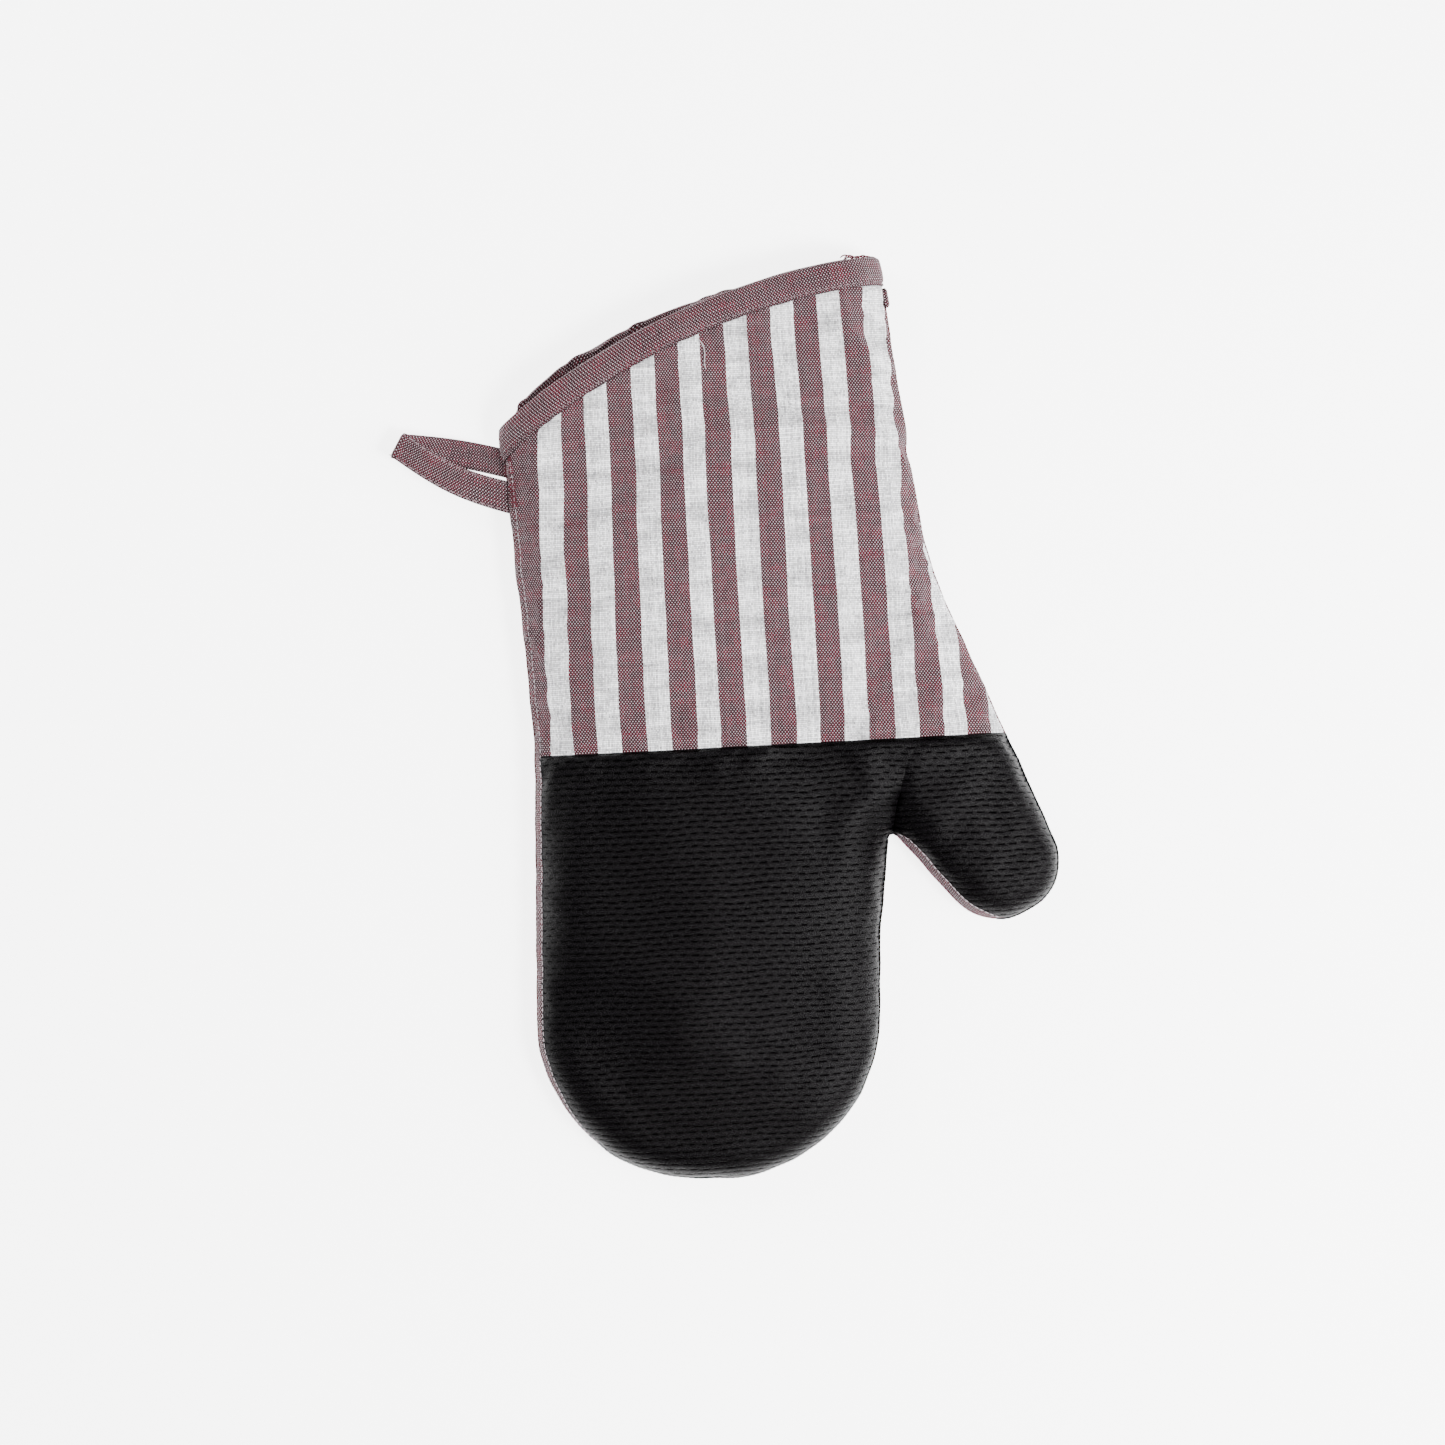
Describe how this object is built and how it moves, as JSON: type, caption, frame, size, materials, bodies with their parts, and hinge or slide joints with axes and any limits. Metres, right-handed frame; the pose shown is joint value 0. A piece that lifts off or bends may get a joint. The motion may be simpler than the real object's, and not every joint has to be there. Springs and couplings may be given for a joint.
{
  "type": "oven mitt",
  "caption": "Quilted fabric oven mitt for the left hand, with a striped cuff, black textured grip panel, bound mouth and hanging loop.",
  "frame": {"origin": "on the back face, under the middle of the seam between the striped cuff panel and the grip panel", "axes": "+Y from the fingertips to the cuff, +X towards the thumb's side, +Z out of the palm side; the mitt lies on its back at z = 0"},
  "size_m": [0.2312, 0.3268, 0.0274],
  "materials": {
    "striped_cloth": "coarse woven cotton, white and dark red-grey stripes",
    "plain_cloth": "coarse chambray weave of dark, white and dark red threads, diamond quilted",
    "binding_cloth": "folded chambray strip",
    "grip_cloth": "black textured grip surface with rows of short ribs, low sheen",
    "wadding": "soft polyester wadding",
    "lining": "plain cotton lining",
    "light_thread": "light grey sewing thread",
    "dark_thread": "dark whipping thread"
  },
  "bodies": {
    "hand": {"striped_cuff_panel": "striped_cloth", "grip_panel_hand": "grip_cloth", "back_panel_hand": "plain_cloth", "front_wadding_hand": "wadding", "back_wadding_hand": "wadding", "front_lining_hand": "lining", "back_lining_hand": "lining", "cuff_binding": "binding_cloth", "binding_stitching": "light_thread", "side_seam_hand": "dark_thread", "loop_bartacks": "light_thread"},
    "fingers": {"grip_panel_fingers": "grip_cloth", "back_panel_fingers": "plain_cloth", "front_wadding_fingers": "wadding", "back_wadding_fingers": "wadding", "front_lining_fingers": "lining", "back_lining_fingers": "lining", "side_seam_fingers": "dark_thread"},
    "thumb": {"grip_panel_thumb": "grip_cloth", "back_panel_thumb": "plain_cloth", "front_wadding_thumb": "wadding", "back_wadding_thumb": "wadding", "front_lining_thumb": "lining", "back_lining_thumb": "lining", "side_seam_thumb": "dark_thread"},
    "loop": {"hanging_loop": "binding_cloth"}
  },
  "joints": [
    {"name": "finger_curl", "type": "hinge", "parent": "hand", "child": "fingers", "pos_m": [0, -0.052, 0.027], "axis": [-1, 0, 0], "range_deg": [0, 70]},
    {"name": "thumb_pinch", "type": "hinge", "parent": "hand", "child": "thumb", "pos_m": [0.0737, -0.0401, 0.027], "axis": [-0.544, -0.8391, 0], "range_deg": [0, 60]},
    {"name": "loop_swing", "type": "hinge", "parent": "hand", "child": "loop", "pos_m": [-0.0702, 0.099, 0.0085], "axis": [0, 1, 0], "range_deg": [-20, 35]}
  ]
}
